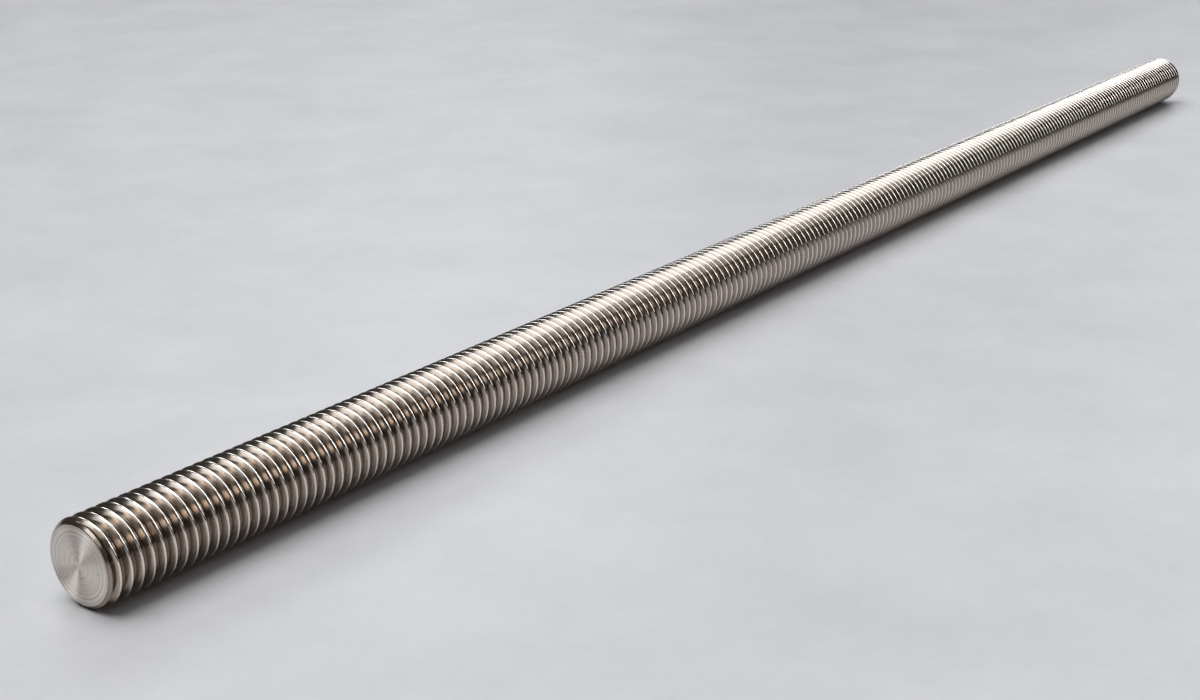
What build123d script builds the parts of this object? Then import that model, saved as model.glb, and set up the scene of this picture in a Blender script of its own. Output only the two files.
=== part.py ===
from build123d import *
from math import ceil, radians, tan
import os

# A threaded rod: one straight round bar with a right-hand thread from end to end.
# It lies along X, with its middle over the origin and its lowest crests on the plane Z = 0.
# The near end is the one at -X.

# Driving sizes in millimetres
rod_length = 508.0
major_diameter = 15.875
thread_pitch = 2.309
end_chamfer = 0.89
first_crest_setback = 1.97  # from the near end face to the first crest, along the -Y side
trim_overrun = 1.0  # how far the trimming shape stands outside the crests

# Thread form: a symmetrical V cut off flat at crest and root
thread_angle = 60.0  # between the two flanks of a groove, in degrees
crest_flat_share = 1 / 8  # of the pitch
root_flat_share = 1 / 4  # of the pitch
quarter_turn_share = 1 / 4  # of a turn, from the top of the rod, where each turn starts, to -Y

# Sizes that follow from the ones above
major_radius = major_diameter / 2
crest_flat = crest_flat_share * thread_pitch
root_flat = root_flat_share * thread_pitch
flank_run = (thread_pitch - crest_flat - root_flat) / 2
thread_depth = flank_run / tan(radians(thread_angle / 2))
root_radius = major_radius - thread_depth
near_end = -rod_length / 2
far_end = rod_length / 2
axis_height = major_radius

# Corners of one pitch of the thread along the top of the rod: distance along X and radius
turn_corners = [
    (0, root_radius),
    (root_flat, root_radius),
    (root_flat + flank_run, major_radius),
    (root_flat + flank_run + crest_flat, major_radius),
    (thread_pitch, root_radius),
]

# The first turn starts whole turns before the near end, so that the ends are cut out of full thread
crest_middle = root_flat + flank_run + crest_flat / 2
first_crest_at_top = near_end + first_crest_setback - quarter_turn_share * thread_pitch
lead_in_turns = ceil(first_crest_setback / thread_pitch) + 1
thread_start = first_crest_at_top - crest_middle - lead_in_turns * thread_pitch
turn_count = ceil((far_end - thread_start) / thread_pitch) + 1


def helix_turn(start, radius):
    """One right-hand turn of a helix about the rod's axis, from the top of the rod."""
    with BuildLine() as turn:
        Helix(
            thread_pitch,
            thread_pitch,
            radius,
            center=(start, 0, axis_height),
            direction=(1, 0, 0),
        )
    return turn.edge()


def end_faces(start):
    """The spiral ramp and the flat step that close one end of the raw thread."""
    axis_start = Vector(start, 0, axis_height)
    axis_end = Vector(start + thread_pitch, 0, axis_height)
    ramp = Face.make_surface_from_curves(helix_turn(start, root_radius), Edge.make_line(axis_start, axis_end))
    profile = [Vector(start + along, 0, axis_height + radius) for along, radius in turn_corners]
    step = Face(Wire.make_polygon([axis_start, *profile, axis_end]))
    return [ramp, step]


# The raw thread: the faces of one turn, repeated along the rod and closed at both ends
turn_edges = [helix_turn(thread_start + along, radius) for along, radius in turn_corners]
turn_faces = [Face.make_surface_from_curves(one, other) for one, other in zip(turn_edges, turn_edges[1:])]
thread_faces = [
    face.moved(Location((turn * thread_pitch, 0, 0)))
    for turn in range(turn_count)
    for face in turn_faces
]
thread_faces += end_faces(thread_start) + end_faces(thread_start + turn_count * thread_pitch)
raw_thread = Solid(Shell(thread_faces))

# The rod: a chamfered bar that stands just outside the crests keeps what lies between its ends
with BuildPart() as threaded_rod:
    with BuildSketch(Plane(origin=(near_end, 0, axis_height), z_dir=(1, 0, 0))):
        Circle(major_radius + trim_overrun)
    extrude(amount=rod_length)
    chamfer(threaded_rod.edges().filter_by(GeomType.CIRCLE), end_chamfer + trim_overrun)
    add(raw_thread, mode=Mode.INTERSECT)

threaded_rod.part.label = "threaded_rod"
os.makedirs("parts", exist_ok=True)
export_step(threaded_rod.part, "parts/threaded_rod.step")
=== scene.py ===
import math

import bmesh
import bpy
import numpy as np
from mathutils import Matrix, Vector


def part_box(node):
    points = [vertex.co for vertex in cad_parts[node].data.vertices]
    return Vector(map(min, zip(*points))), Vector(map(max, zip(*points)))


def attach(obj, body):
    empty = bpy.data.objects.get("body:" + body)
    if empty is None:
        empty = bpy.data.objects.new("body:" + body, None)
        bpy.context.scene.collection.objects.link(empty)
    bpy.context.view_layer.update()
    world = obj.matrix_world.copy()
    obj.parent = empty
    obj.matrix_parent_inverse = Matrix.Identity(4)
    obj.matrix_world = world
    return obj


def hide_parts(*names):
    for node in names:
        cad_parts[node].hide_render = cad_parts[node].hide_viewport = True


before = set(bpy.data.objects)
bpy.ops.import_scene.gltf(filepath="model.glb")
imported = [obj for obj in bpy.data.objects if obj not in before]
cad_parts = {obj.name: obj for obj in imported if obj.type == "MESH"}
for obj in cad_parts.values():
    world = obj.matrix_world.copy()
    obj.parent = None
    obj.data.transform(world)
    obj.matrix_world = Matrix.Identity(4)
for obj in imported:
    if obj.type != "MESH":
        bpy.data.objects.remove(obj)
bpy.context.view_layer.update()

# Sizes in metres. The rod's length, crests and axis come from the frame.
rod_low, rod_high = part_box("threaded_rod")
near_end = rod_low.x
far_end = rod_high.x
crest_radius = min(rod_high.y, -rod_low.y, (rod_high.z - rod_low.z) / 2)
axis_height = (rod_low.z + rod_high.z) / 2
rod_diameter = 2 * crest_radius
thread_pitch = 0.002309
first_crest_setback = 0.00197

# Ends: a chamfer, a narrow bevel at its rim, and a plain ring with a shoulder towards the groove
end_chamfer = 0.00089
face_radius = crest_radius - end_chamfer
rim_bevel = 0.00010
rim_slope = 1 / math.tan(math.radians(22.5))
rim_depth = rim_bevel / (rim_slope - 1)
collar_length = 0.00048
collar_shoulder = 0.00010
shoulder_end = collar_length + collar_shoulder

# Angles that a flat face, a rim and a chamfer are turned from the rod's side towards its end
face_tilt = 90
rim_tilt = 67.5
chamfer_tilt = 45
tilt_slack = 6

# Thread form: a 60 degree V, with the flats of crest and root as shares of the pitch
flank_angle = math.radians(30)
crest_flat = thread_pitch / 8
root_flat = thread_pitch / 4
flank_run = (thread_pitch - crest_flat - root_flat) / 2
flank_slope = 1 / math.tan(flank_angle)
thread_depth = flank_run / math.tan(flank_angle)
root_radius = crest_radius - thread_depth
root_round = root_flat / 2 * flank_slope
crest_round = 0.10 * thread_pitch

# Where one half of a turn changes its form, as distances past the middle of a root
flank_corner = root_flat / 2 + flank_run
crest_reach = crest_round * math.tan(flank_angle)
root_end = root_round * math.cos(flank_angle)
round_start = flank_corner - crest_reach * math.sin(flank_angle)
round_end = flank_corner + crest_reach

# How finely the rod is divided
turn_steps = 48
face_rings = 24
first_ring_radius = 0.97 * root_radius

# The raw thread starts some turns before the near end
lead_in_turns = 2
thread_start = (
    near_end
    + first_crest_setback
    - thread_pitch / 4
    - thread_pitch / 2
    - lead_in_turns * thread_pitch
)
turn_count = math.ceil((far_end - thread_start) / thread_pitch) + 1

# Small dents in the crests: place along the rod and angle from the top, reach both ways, depth
dents = [
    (near_end + 0.60 * rod_diameter, math.radians(56), 0.0010, 0.0013, 0.00016),
    (near_end + 5.02 * rod_diameter, math.radians(50), 0.0007, 0.0010, 0.00014),
]

# Distances below which points count as being in one place, on one plane or on the chamfer
same_place = 1e-8
same_cut = 1e-7
same_plane = 1e-6
flat_depth = 1e-5
cone_gap = 2.5e-5
nudge = 1e-6

# Colours of the thread at shares of its height, in its cleaner and its duller patches. The darkening
# from crest to root is painted shade in the groove.
thread_painted_shade_heights = (0, 0.4, 0.84, 0.93)
thread_clean_painted_shade = ((0.20, 0.160, 0.128), (0.40, 0.333, 0.277), (0.49, 0.419, 0.359), (0.91, 0.855, 0.805))
thread_dull_painted_shade = ((0.16, 0.126, 0.100), (0.33, 0.273, 0.226), (0.42, 0.357, 0.304), (0.86, 0.805, 0.755))

# The end faces' lathe rings, and a small dark spot in the near one
feed_per_turn = 0.00020
ring_dark = (0.68, 0.622, 0.570)
ring_light = (0.93, 0.865, 0.805)
dark_spot_place = (near_end, -0.00457, axis_height - 0.0003)
dark_spot_radius = 0.00016
dark_spot_colour = (0.30, 0.22, 0.16)

floor_reach = 20
floor_dull = (0.598, 0.603, 0.628)
floor_pale = (0.716, 0.721, 0.748)

# Lamps: how far off they are, the ways their widths run, and their colours
panel_distance = 3.0
card_distance = 5.0
rod_way = (1, 0, 0)
card_slant = (-0.226, 0.75, -0.62)
cool = (0.93, 0.97, 1.0)
plain = (1.0, 0.985, 0.965)
white = (1, 1, 1)
studio_grey = (0.06, 0.0575, 0.055)

# Camera: its distance from the near end's middle in rod diameters, and the way that it looks
camera_back = 10.115
camera_aside = 13.714
camera_up = 8.016
camera_tilt = 19.4
camera_heading = 35.6
camera_lens = 53.34
sensor_width = 36


def thread_form(phase):
    """Radius and slope of the thread at a distance past the middle of a root, as arrays."""
    past = (phase + thread_pitch / 2) % thread_pitch - thread_pitch / 2
    side = np.sign(past)
    past = np.abs(past)
    in_root = np.sqrt(np.maximum(root_round**2 - past**2, (root_round / 4) ** 2))
    in_crest = np.sqrt(np.maximum(crest_round**2 - (round_end - past) ** 2, (crest_round / 4) ** 2))
    zones = [past <= root_end, past <= round_start, past <= round_end]
    radius = np.select(
        zones,
        [
            root_radius + root_round - in_root,
            root_radius + (past - root_flat / 2) * flank_slope,
            crest_radius - crest_round + in_crest,
        ],
        crest_radius,
    )
    slope = np.select(zones, [past / in_root, flank_slope, (round_end - past) / in_crest], 0.0)
    return radius, side * slope


def turn_places():
    """Distances past the middle of a root at which one turn of the thread has its lines."""
    half = [0, root_round * math.sin(flank_angle), root_end, round_start, round_end]
    return half + [thread_pitch - place for place in half[:0:-1]]


def dent_depth(x, angle):
    """How far the dents lower the surface at a place, as arrays."""
    depth = np.zeros(np.broadcast(x, angle).shape)
    for dent_x, dent_angle, reach_x, reach_around, deepest in dents:
        turn = (angle - dent_angle + math.pi) % (2 * math.pi) - math.pi
        depth = depth + deepest * np.exp(
            -(((x - dent_x) / reach_x) ** 2) - (turn * crest_radius / reach_around) ** 2
        )
    return depth


def around(angle, radius):
    """Y and Z at an angle from the top of the rod towards -Y."""
    return -radius * np.sin(angle), axis_height + radius * np.cos(angle)


def thread_faces(rows, lines):
    """Faces between the rows of the raw thread. A row's last point meets the row one turn on."""
    faces = []
    for i in range(rows - 1):
        for j in range(turn_steps):
            if j + 1 < turn_steps:
                right, right_next = i * turn_steps + j + 1, (i + 1) * turn_steps + j + 1
            elif i + 1 + lines < rows:
                right, right_next = (i + lines) * turn_steps, (i + 1 + lines) * turn_steps
            else:
                continue
            faces.append((i * turn_steps + j, right, right_next, (i + 1) * turn_steps + j))
    return faces


def raw_thread_mesh():
    """The thread as an open helical surface that runs past both ends of the rod."""
    places = np.array(turn_places())
    lines = len(places)
    rows = turn_count * lines + 1
    row = np.arange(rows)
    along = places[row % lines] + (row // lines) * thread_pitch
    step = np.arange(turn_steps)
    angle = 2 * math.pi * step / turn_steps
    radius, _ = thread_form(along)
    x = thread_start + along[:, None] + thread_pitch * step[None, :] / turn_steps
    y, z = around(angle[None, :], radius[:, None] - dent_depth(x, angle[None, :]))
    points = np.stack([x, y, z], axis=2).reshape(-1, 3)
    mesh = bpy.data.meshes.new("threaded_rod_fine")
    mesh.from_pydata(points.tolist(), [], thread_faces(rows, lines))
    return mesh


def radius_of(vert):
    return math.hypot(vert.co.y, vert.co.z - axis_height)


def set_radius(vert, radius):
    share = radius / radius_of(vert)
    vert.co.y *= share
    vert.co.z = axis_height + (vert.co.z - axis_height) * share


def faces_within(bm, end, inward, reach):
    """Faces that lie wholly within a distance from an end, and beyond it."""
    return [f for f in bm.faces if all(inward * (v.co.x - end) < reach for v in f.verts)]


def slice_faces(bm, faces, x, way=1, closeness=same_place, clear_outer=False):
    """Cuts faces along a plane across the rod at x."""
    edges = dict.fromkeys(e for f in faces for e in f.edges)
    corners = dict.fromkeys(v for f in faces for v in f.verts)
    bmesh.ops.bisect_plane(
        bm,
        geom=list(corners) + list(edges) + faces,
        dist=closeness,
        plane_co=(x, 0, 0),
        plane_no=(way, 0, 0),
        clear_outer=clear_outer,
    )


def cut_cone(bm, end, inward, end_radius, slope):
    """Clamps the surface near an end to a cone that widens from end_radius there by slope."""
    reach = 2 * thread_pitch
    verts = [v for v in bm.verts if inward * (v.co.x - end) < reach]
    for v in verts:
        v.co.x -= inward * radius_of(v) / slope
    chosen = set(verts)
    sheared_end = end - inward * end_radius / slope
    slice_faces(bm, [f for f in bm.faces if all(v in chosen for v in f.verts)], sheared_end)
    # New points lie on the cut, so they are all close to the cone's place in this sheared space
    fresh = [v for v in bm.verts if v not in chosen and abs(v.co.x - sheared_end) < same_plane]
    for v in verts + fresh:
        v.co.x += inward * radius_of(v) / slope
    for v in verts + fresh:
        limit = max(end_radius + inward * (v.co.x - end) * slope, root_radius / 4)
        if radius_of(v) > limit:
            set_radius(v, limit)


def cut_end(bm, end, inward):
    """Trims one end of the raw thread to its chamfer, its rim and a flat face."""
    cut_cone(bm, end, inward, face_radius, 1)
    cut_cone(bm, end, inward, face_radius - rim_bevel, rim_slope)
    faces = faces_within(bm, end, inward, 3 * thread_pitch)
    slice_faces(bm, faces, end, way=-inward, clear_outer=True)


def raise_collar(bm, end, inward):
    """Stops the groove short of the face, so that a plain ring runs all round behind the rim."""
    for depth in (rim_depth, collar_length, shoulder_end):
        faces = faces_within(bm, end, inward, 2 * thread_pitch)
        slice_faces(bm, faces, end + inward * depth, closeness=same_cut)
    for v in bm.verts:
        depth = inward * (v.co.x - end)
        if depth < collar_length + same_plane:
            set_radius(v, face_radius + min(depth, rim_slope * depth - rim_bevel))


def rim_loop(bm, end):
    """The points of the open rim at one end, in order."""
    rim = [e for e in bm.edges if e.is_boundary and all(abs(v.co.x - end) < same_plane for v in e.verts)]
    loop = [rim[0].verts[0]]
    left = set(rim)
    while True:
        link = next((e for e in loop[-1].link_edges if e in left), None)
        if link is None:
            return loop
        left.discard(link)
        other = link.other_vert(loop[-1])
        if other is loop[0]:
            return loop
        loop.append(other)


def fill_end(bm, end):
    """Closes one end with rings that turn from the rim's outline into circles, and a middle."""
    loop = rim_loop(bm, end)
    count = len(loop)
    angles = [math.atan2(-v.co.y, v.co.z - axis_height) for v in loop]
    ring = loop
    for k in range(face_rings):
        radius = first_ring_radius * (1 - k / face_rings)
        fresh = [bm.verts.new((end, *around(angle, radius))) for angle in angles]
        for a in range(count):
            b = (a + 1) % count
            bm.faces.new((ring[a], ring[b], fresh[b], fresh[a]))
        ring = fresh
    middle = bm.verts.new((end, 0, axis_height))
    for a in range(count):
        bm.faces.new((ring[a], ring[(a + 1) % count], middle))


def build_rod():
    mesh = raw_thread_mesh()
    bm = bmesh.new()
    bm.from_mesh(mesh)
    for end, inward in ((near_end, 1), (far_end, -1)):
        cut_end(bm, end, inward)
        raise_collar(bm, end, inward)
    fill_end(bm, near_end)
    fill_end(bm, far_end)
    bmesh.ops.recalc_face_normals(bm, faces=bm.faces)
    bm.to_mesh(mesh)
    bm.free()
    return mesh


def read_values(items, name, width, kind):
    """A value or a vector of each item in a part of a mesh, as an array."""
    values = np.zeros(len(items) * width, kind)
    items.foreach_get(name, values)
    return values.reshape(-1, width) if width > 1 else values


def angle_at(points):
    return np.arctan2(-points[:, 1], points[:, 2] - axis_height)


def radius_at(points):
    return np.hypot(points[:, 1], points[:, 2] - axis_height)


def outward_at(angle):
    return np.stack([np.zeros_like(angle), -np.sin(angle), np.cos(angle)], axis=1)


def onward_at(angle):
    return np.stack([np.zeros_like(angle), -np.cos(angle), -np.sin(angle)], axis=1)


def thread_normals(points):
    """Normals of the dented thread, of any length, at points on it."""
    x = points[:, 0]
    angle = angle_at(points)
    _, slope = thread_form(x - thread_start - thread_pitch * angle / (2 * math.pi))
    dent = dent_depth(x, angle)
    dent_rise = (dent_depth(x + nudge, angle) - dent) / nudge
    dent_turn = (dent_depth(x, angle + nudge) - dent) / nudge
    turn_rise = -slope * thread_pitch / (2 * math.pi) - dent_turn
    lean = turn_rise / np.maximum(radius_at(points), root_radius / 2)
    normal = outward_at(angle) - lean[:, None] * onward_at(angle)
    normal[:, 0] -= slope - dent_rise
    return normal


def corner_normals(mesh):
    """The true normal of the rod's surface at each corner of each face."""
    vert_of = read_values(mesh.loops, "vertex_index", 1, int)
    points = read_values(mesh.vertices, "co", 3, float)[vert_of]
    totals = read_values(mesh.polygons, "loop_total", 1, int)
    face_of = np.repeat(np.arange(len(totals)), totals)
    face_normal = read_values(mesh.polygons, "normal", 3, float)
    centre = read_values(mesh.polygons, "center", 3, float)
    normal = thread_normals(points)
    outward = outward_at(angle_at(points))
    # Faces on the ends: the ring's shoulder, the chamfer, the rim's bevel and the flat face
    depth = np.minimum(centre[:, 0] - near_end, far_end - centre[:, 0])
    sign = np.where(centre[:, 0] < 0, -1.0, 1.0)
    away = (face_normal * outward_at(angle_at(centre))).sum(axis=1)
    tilt = np.degrees(np.arctan2(sign * face_normal[:, 0], away))
    from_cone = np.abs(radius_at(centre) - (face_radius + depth))
    flat = depth < flat_depth
    on_cone = ~flat & (from_cone < cone_gap) & (np.abs(tilt - chamfer_tilt) < tilt_slack)
    on_rim = ~flat & (np.abs(tilt - rim_tilt) < tilt_slack) & (depth < 2 * rim_bevel)
    on_shoulder = ((depth > collar_length) & (depth < shoulder_end) & ~on_cone)[face_of]
    normal[on_shoulder] = face_normal[face_of][on_shoulder]
    for mask, degrees in ((on_cone, chamfer_tilt), (on_rim, rim_tilt), (flat, face_tilt)):
        chosen = mask[face_of]
        turn = math.radians(degrees)
        normal[chosen] = outward[chosen] * math.cos(turn)
        normal[chosen, 0] = sign[face_of][chosen] * math.sin(turn)
    return normal / np.linalg.norm(normal, axis=1)[:, None]


def add_node(tree, kind, **settings):
    node = tree.nodes.new(kind)
    for name, value in settings.items():
        setattr(node, name, value)
    return node


def noise(tree, vector, scale, detail, roughness=0.5, dimensions="3D"):
    node = add_node(tree, "ShaderNodeTexNoise", noise_dimensions=dimensions)
    node.inputs["Scale"].default_value = scale
    node.inputs["Detail"].default_value = detail
    node.inputs["Roughness"].default_value = roughness
    tree.links.new(vector, node.inputs["W" if dimensions == "1D" else "Vector"])
    return node.outputs["Fac"]


def remap(tree, value, old, new=(0, 1)):
    """A value moved from one range to another, and kept inside it."""
    node = add_node(tree, "ShaderNodeMapRange")
    node.inputs["From Min"].default_value, node.inputs["From Max"].default_value = old
    node.inputs["To Min"].default_value, node.inputs["To Max"].default_value = new
    tree.links.new(value, node.inputs["Value"])
    return node.outputs["Result"]


def blend(tree, factor, first, second):
    """A blend of two colours, each written out or taken from a socket."""
    node = add_node(tree, "ShaderNodeMix", data_type="RGBA")
    tree.links.new(factor, node.inputs["Factor"])
    colour_inputs = [socket for socket in node.inputs if socket.type == "RGBA"]
    for socket, colour in zip(colour_inputs, (first, second)):
        if isinstance(colour, tuple):
            socket.default_value = (*colour, 1)
        else:
            tree.links.new(colour, socket)
    return next(socket for socket in node.outputs if socket.type == "RGBA")


def bump(tree, height, distance, before=None):
    node = add_node(tree, "ShaderNodeBump")
    node.inputs["Distance"].default_value = distance
    tree.links.new(height, node.inputs["Height"])
    if before:
        tree.links.new(before, node.inputs["Normal"])
    return node.outputs["Normal"]


def ramp(tree, value, stops):
    """A colour ramp through (place, colour) stops."""
    node = add_node(tree, "ShaderNodeValToRGB")
    steps = node.color_ramp.elements
    for k, (place, colour) in enumerate(stops):
        step = steps[k] if k < len(steps) else steps.new(place)
        step.position = place
        step.color = (*colour, 1)
    tree.links.new(value, node.inputs["Fac"])
    return node.outputs["Color"]


def new_material(name):
    material = bpy.data.materials.new(name)
    material.use_nodes = True
    tree = material.node_tree
    return material, tree, tree.nodes["Principled BSDF"]


def place_and_radius(tree):
    """The place in the rod's own frame, and its distance from the rod's axis."""
    place = add_node(tree, "ShaderNodeTexCoord").outputs["Object"]
    from_axis = add_node(tree, "ShaderNodeVectorMath", operation="MULTIPLY_ADD")
    from_axis.inputs[1].default_value = (0, 1, 1)
    from_axis.inputs[2].default_value = (0, 0, -axis_height)
    tree.links.new(place, from_axis.inputs[0])
    length = add_node(tree, "ShaderNodeVectorMath", operation="LENGTH")
    tree.links.new(from_axis.outputs["Vector"], length.inputs[0])
    return place, length.outputs["Value"]


def thread_steel():
    """Rolled stainless steel: burnished crests, flanks and still more the roots darkened by painted
    shade in the groove, a little wavy.
    """
    material, tree, shader = new_material("thread_steel")
    place, radius = place_and_radius(tree)
    cloud = noise(tree, place, scale=300, detail=4, roughness=0.6)
    lines = noise(tree, radius, scale=5000, detail=2, dimensions="1D")
    wave = noise(tree, place, scale=420, detail=1)
    height = remap(tree, radius, (root_radius, crest_radius))
    shader.inputs["Metallic"].default_value = 1
    # Colour by height: the darker flanks and roots are painted shade in the groove, blended with random
    # cleaner and duller patches.
    dull_painted_shade = ramp(tree, height, zip(thread_painted_shade_heights, thread_dull_painted_shade))
    clean_painted_shade = ramp(tree, height, zip(thread_painted_shade_heights, thread_clean_painted_shade))
    steel = blend(tree, remap(tree, cloud, (0.3, 0.7)), dull_painted_shade, clean_painted_shade)
    tree.links.new(steel, shader.inputs["Base Color"])
    matt = add_node(tree, "ShaderNodeMath", operation="ADD")
    tree.links.new(remap(tree, height, (0.6, 0.9), (0.17, 0.10)), matt.inputs[0])
    tree.links.new(remap(tree, cloud, (0.3, 0.7), (0, 0.04)), matt.inputs[1])
    tree.links.new(matt.outputs["Value"], shader.inputs["Roughness"])
    wavy = bump(tree, wave, 0.00003)
    tree.links.new(bump(tree, lines, 0.0000005, wavy), shader.inputs["Normal"])
    return material


def lathe_rings(tree, radius):
    """Feed marks of a lathe: fine uneven rings, with a stronger one now and then."""
    fine = noise(tree, radius, scale=0.5 / feed_per_turn, detail=3, roughness=0.75, dimensions="1D")
    return remap(tree, fine, (0.3, 0.7))


def with_dark_spot(tree, place, steel):
    """The colour of the steel, darkened at a small spot."""
    from_dark_spot = add_node(tree, "ShaderNodeVectorMath", operation="DISTANCE")
    from_dark_spot.inputs[1].default_value = dark_spot_place
    tree.links.new(place, from_dark_spot.inputs[0])
    clear_of_dark_spot = remap(tree, from_dark_spot.outputs["Value"], (0.5 * dark_spot_radius, dark_spot_radius))
    return blend(tree, clear_of_dark_spot, dark_spot_colour, steel)


def turned_steel():
    """Stainless steel faced on a lathe: fine rings round the middle, and one small dark spot."""
    material, tree, shader = new_material("turned_steel")
    place, radius = place_and_radius(tree)
    rings = lathe_rings(tree, radius)
    cloud = noise(tree, place, scale=500, detail=3)
    shader.inputs["Metallic"].default_value = 1
    shader.inputs["Anisotropic"].default_value = 0.92
    shader.inputs["Anisotropic Rotation"].default_value = 0.25
    tangent = add_node(tree, "ShaderNodeTangent", direction_type="RADIAL", axis="X")
    tree.links.new(tangent.outputs["Tangent"], shader.inputs["Tangent"])
    steel = blend(tree, remap(tree, rings, (0.1, 0.9)), ring_dark, ring_light)
    tree.links.new(with_dark_spot(tree, place, steel), shader.inputs["Base Color"])
    tree.links.new(remap(tree, cloud, (0.3, 0.7), (0.44, 0.50)), shader.inputs["Roughness"])
    tree.links.new(bump(tree, rings, 0.000010), shader.inputs["Normal"])
    return material


def floor_paint():
    """Pale grey satin floor with a faint mottle."""
    material, tree, shader = new_material("floor_paint")
    place = add_node(tree, "ShaderNodeTexCoord").outputs["Object"]
    broad = noise(tree, place, scale=26, detail=8, roughness=0.68)
    fine = noise(tree, place, scale=700, detail=3, roughness=0.6)
    shader.inputs["IOR"].default_value = 1.5
    shader.inputs["Specular IOR Level"].default_value = 0.2
    grey = blend(tree, remap(tree, broad, (0.25, 0.75)), floor_dull, floor_pale)
    tree.links.new(grey, shader.inputs["Base Color"])
    tree.links.new(remap(tree, broad, (0.3, 0.7), (0.38, 0.44)), shader.inputs["Roughness"])
    tree.links.new(bump(tree, fine, 0.00002), shader.inputs["Normal"])
    return material


def add_object(name, data):
    added = bpy.data.objects.new(name, data)
    bpy.context.scene.collection.objects.link(added)
    return added


rod_mesh = build_rod()
rod = add_object("threaded_rod_fine", rod_mesh)
rod_mesh.shade_smooth()
rod_mesh.normals_split_custom_set(corner_normals(rod_mesh).tolist())
for face in rod_mesh.polygons:
    face.material_index = int(min(face.center.x - near_end, far_end - face.center.x) < flat_depth)
rod_mesh.materials.append(thread_steel())
rod_mesh.materials.append(turned_steel())
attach(rod, "root")
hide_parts("threaded_rod")

floor_corners = [(floor_reach * x, floor_reach * y, 0) for x, y in ((-1, -1), (1, -1), (1, 1), (-1, 1))]
floor_mesh = bpy.data.meshes.new("floor")
floor_mesh.from_pydata(floor_corners, [], [(0, 1, 2, 3)])
floor = add_object("floor", floor_mesh)
floor_mesh.materials.append(floor_paint())


def lamp(name, place, facing, along, width, height, brightness, colour):
    """A soft rectangular lamp of an even brightness. Its width runs along the given direction."""
    light = bpy.data.lights.new(name, "AREA")
    light.shape = "RECTANGLE"
    light.size = width
    light.size_y = height
    light.energy = math.pi * width * height * brightness
    light.color = colour
    holder = bpy.data.objects.new(name, light)
    behind = -Vector(facing).normalized()
    across = Vector(along)
    across = (across - across.dot(behind) * behind).normalized()
    turned = Matrix((across, behind.cross(across), behind)).transposed()
    holder.matrix_world = Matrix.Translation(place) @ turned.to_4x4()
    bpy.context.scene.collection.objects.link(holder)
    return holder


def direction(from_axis, round_axis):
    """Unit vector at an angle from +X, turned round X from -Y over the top."""
    out = math.radians(from_axis)
    turn = math.radians(round_axis)
    return Vector((math.cos(out), -math.sin(out) * math.cos(turn), math.sin(out) * math.sin(turn)))


def lamp_along(name, start, stop, low, high, brightness):
    """A panel parallel to the rod between two angles round it, seen only in glossy surfaces."""
    middle = direction(90, (low + high) / 2)
    width = 2 * panel_distance * math.tan(math.radians(high - low) / 2)
    place = middle * panel_distance + Vector(((start + stop) / 2, 0, axis_height))
    panel = lamp(name, place, -middle, rod_way, stop - start, width, brightness, cool)
    panel.visible_diffuse = False


def lamp_toward(name, from_axis, round_axis, distance, along, width, height, brightness, colour):
    """A panel in one direction from the middle of the rod, seen only in glossy surfaces."""
    toward = direction(from_axis, round_axis)
    panel = lamp(name, distance * toward, -toward, along, width, height, brightness, colour)
    panel.visible_diffuse = False


def lamp_above(name, place, width, height, brightness):
    """A lamp over the floor that leaves the reflections in the steel alone."""
    above = lamp(name, place, (0, 0, -1), rod_way, width, height, brightness, white)
    above.visible_glossy = False


# Start and stop along the rod, lowest and highest angle round it, brightness
lamp_along("back_panel", -0.2, 9.4, 89, 106, 4.6)
lamp_along("back_middle", 1.6, 9.4, 106, 136, 2.2)
lamp_along("back_near", 0.55, 1.6, 106, 120, 4.0)
lamp_along("back_low", 1.0, 3.5, 136, 150, 5.2)
lamp_along("far_panel", 2.0, 14.0, 58, 89, 4.0)
lamp_along("middle_panel", 0.2, 2.0, 56, 89, 0.6)
lamp_along("low_panel", 1.9, 9.4, 16, 54, 2.0)

# Angle from the rod and round it, distance, way of the width, width, height, brightness, colour
lamp_toward("side_card", 76.4, 41, panel_distance, rod_way, 1.02, 0.92, 4.3, plain)
lamp_toward("front_card", 140.7, 110.2, card_distance, card_slant, 4.5, 1.8, 2.2, cool)
lamp_toward("front_soft", 156.3, 93.1, card_distance, card_slant, 4.0, 1.35, 0.6, plain)
lamp_toward("edge_card", 123, 100, card_distance, card_slant, 2.6, 0.8, 2.6, cool)

# Place, width, height, brightness
lamp_above("floor_light", (-0.5, 0.55, 1.7), 1.8, 1.7, 3.55)
lamp_above("floor_fill", (-0.6, -1.2, 1.7), 1.6, 1.6, 0.35)

world = bpy.data.worlds.new("studio")
bpy.context.scene.world = world
world.use_nodes = True
world.node_tree.nodes["Background"].inputs["Color"].default_value = (*studio_grey, 1)

camera_data = bpy.data.cameras.new("camera")
camera = add_object("camera", camera_data)
camera_data.sensor_width = sensor_width
camera_data.sensor_fit = "HORIZONTAL"
camera_data.lens = camera_lens
camera_data.clip_start = 0.01
camera.location = (
    near_end - camera_back * rod_diameter,
    -camera_aside * rod_diameter,
    axis_height + camera_up * rod_diameter,
)
camera.rotation_euler = (math.radians(90 - camera_tilt), 0, math.radians(camera_heading - 90))
bpy.context.scene.camera = camera
bpy.context.scene.view_settings.view_transform = "Standard"
